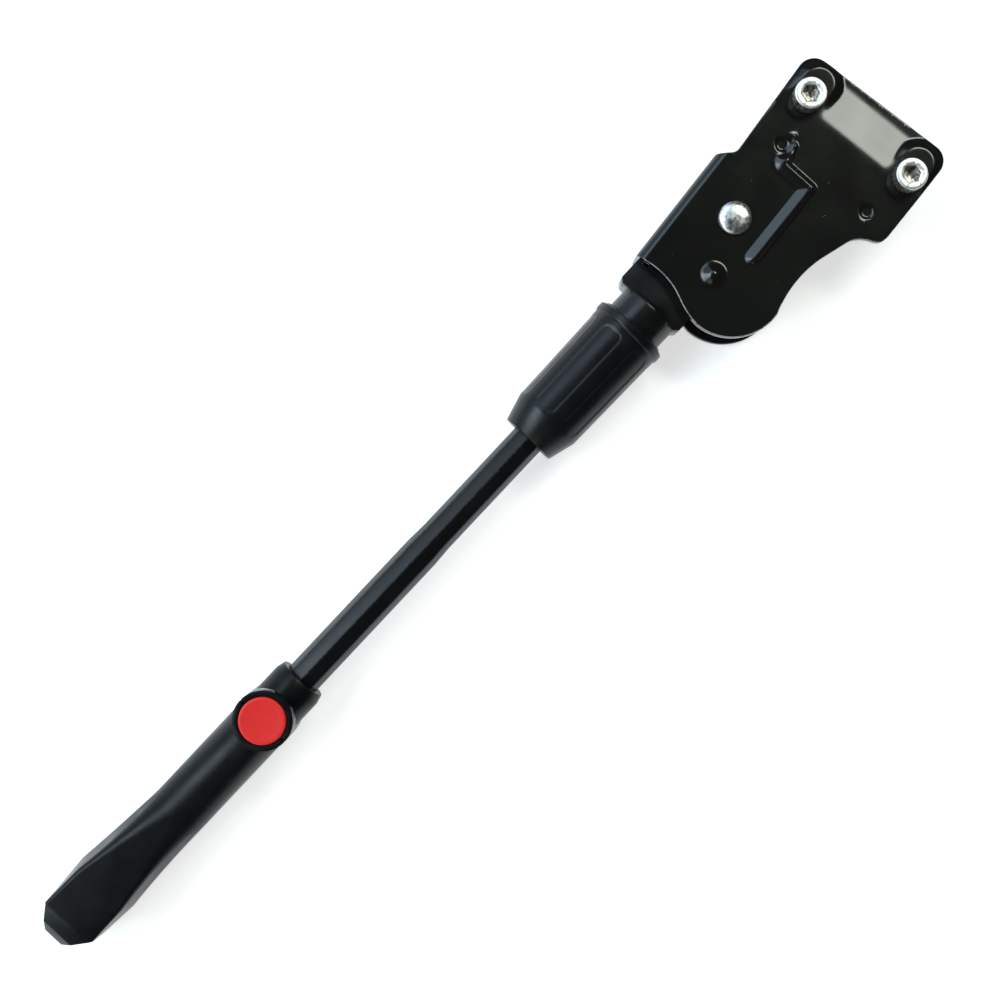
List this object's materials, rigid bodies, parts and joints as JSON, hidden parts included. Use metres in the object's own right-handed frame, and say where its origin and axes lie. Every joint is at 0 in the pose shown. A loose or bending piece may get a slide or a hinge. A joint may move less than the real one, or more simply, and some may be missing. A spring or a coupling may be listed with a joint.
{
  "type": "bicycle kickstand",
  "caption": "Side kickstand that bolts to a bicycle's frame plate, with a folding leg on a riveted bracket, a ribbed spring cover, an octagonal rod and a push-button adjustable plastic foot.",
  "frame": {"origin": "midway between the two frame bolts, on the rear face of the bracket's front wall, which meets the bicycle's frame plate", "axes": "+X from the leg towards the bolts, the leg leaving 4.5 degrees off -X; +Y along the line of the bolts, towards the bracket's side flange; +Z out of the front, along the bolts and the leg's pivot"},
  "size_m": [0.3688, 0.0763, 0.0292],
  "materials": {
    "painted_steel": "satin black powder coat",
    "black_alloy": "satin black anodised",
    "black_oxide_steel": "black oxide",
    "bright_steel": "bright zinc",
    "plain_steel": "zinc plated, scuffed",
    "spring_steel": "drawn wire",
    "bronze": "sintered",
    "black_plastic": "fine grained moulding",
    "red_plastic": "semi gloss"
  },
  "bodies": {
    "bracket_body": {"bracket": "painted_steel", "frame_bolts": "bright_steel", "pivot_rivet": "plain_steel", "pivot_cam": "plain_steel", "front_bush": "bronze", "rear_bush": "bronze", "front_washer": "plain_steel", "rear_washer": "plain_steel"},
    "leg": {"leg_head": "black_alloy", "leg_spring": "spring_steel", "rod_socket": "plain_steel", "rod_pin": "plain_steel", "spring_cover": "black_plastic", "cover_ring": "black_oxide_steel", "leg_rod": "black_alloy", "rod_end_cap": "black_plastic"},
    "plunger_body": {"plunger": "plain_steel"},
    "foot_body": {"foot": "black_plastic", "button_spring": "spring_steel"},
    "button": {"push_button": "red_plastic", "lock_frame": "plain_steel"}
  },
  "joints": [
    {"name": "leg_fold", "type": "hinge", "parent": "bracket_body", "child": "leg", "pos_m": [-0.0436, 0.01413, -0.007], "axis": [0, 0, 1], "range_deg": [0, 94.5]},
    {"name": "plunger_slide", "type": "slide", "parent": "leg", "child": "plunger_body", "axis": [-0.9969, 0.0785, 0], "range_m": [0, 0.0012], "stiffness_N_per_m": 6500, "springref_m": -0.005, "deforming": ["leg_spring"]},
    {"name": "foot_slide", "type": "slide", "parent": "leg", "child": "foot_body", "axis": [-0.9969, 0.0785, 0], "range_m": [-0.035, 0.02]},
    {"name": "button_press", "type": "slide", "parent": "foot_body", "child": "button", "axis": [0, 0, -1], "range_m": [0, 0.0015], "stiffness_N_per_m": 1200, "springref_m": -0.002, "deforming": ["button_spring"]}
  ]
}
